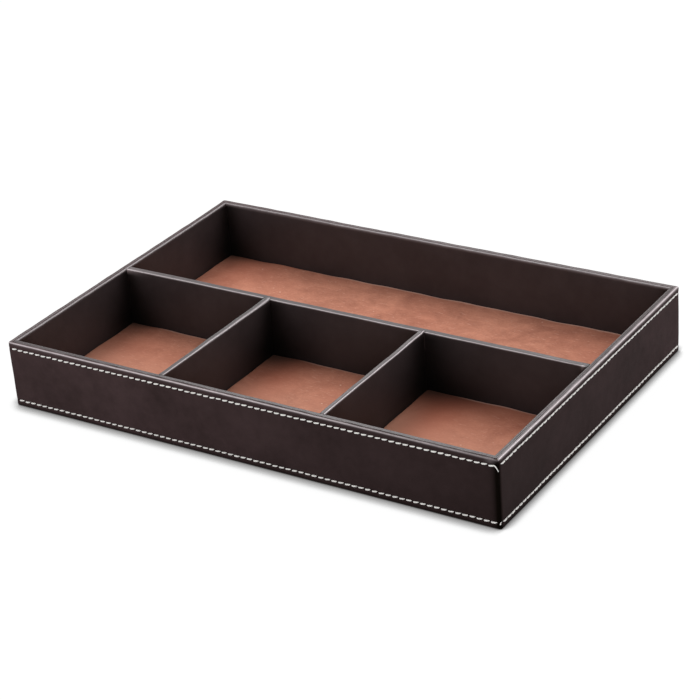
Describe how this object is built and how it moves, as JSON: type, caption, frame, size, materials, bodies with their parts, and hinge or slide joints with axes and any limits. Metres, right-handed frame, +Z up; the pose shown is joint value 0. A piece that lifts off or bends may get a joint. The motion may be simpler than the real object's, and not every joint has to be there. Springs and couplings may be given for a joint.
{
  "type": "leather storage tray",
  "caption": "Low rectangular desk tray covered in dark brown leather with cream stitching, a long rear bin, a row of square front bins and brown suede floors.",
  "frame": {"origin": "middle of the underside, on the table that the tray stands on", "axes": "+X along the front to the right, +Y from the front to the back, +Z up"},
  "size_m": [0.3506, 0.2406, 0.045],
  "materials": {
    "outer_leather": "satin dark brown leather with a fine grain",
    "lining_leather": "satin dark brown leather, smoother than the outside",
    "suede": "brown suede cloth with a brushed nap",
    "felt": "black backing felt",
    "board": "plain fibreboard",
    "card": "grey card",
    "thread": "cream polyester sewing thread"
  },
  "bodies": {
    "root": {"base_board": "board", "front_wall_board": "board", "back_wall_board": "board", "left_wall_board": "board", "right_wall_board": "board", "long_divider_board": "board", "left_cross_board": "board", "right_cross_board": "board", "outer_wrap": "outer_leather", "front_wall_lining": "lining_leather", "back_wall_lining": "lining_leather", "left_wall_lining": "lining_leather", "right_wall_lining": "lining_leather", "long_divider_wrap": "lining_leather", "left_cross_wrap": "lining_leather", "right_cross_wrap": "lining_leather", "back_bin_card": "card", "left_bin_card": "card", "middle_bin_card": "card", "right_bin_card": "card", "back_bin_suede": "suede", "left_bin_suede": "suede", "middle_bin_suede": "suede", "right_bin_suede": "suede", "underside_felt": "felt", "front_upper_stitches": "thread", "front_lower_stitches": "thread", "back_upper_stitches": "thread", "back_lower_stitches": "thread", "left_upper_stitches": "thread", "left_lower_stitches": "thread", "right_upper_stitches": "thread", "right_lower_stitches": "thread"}
  },
  "joints": []
}
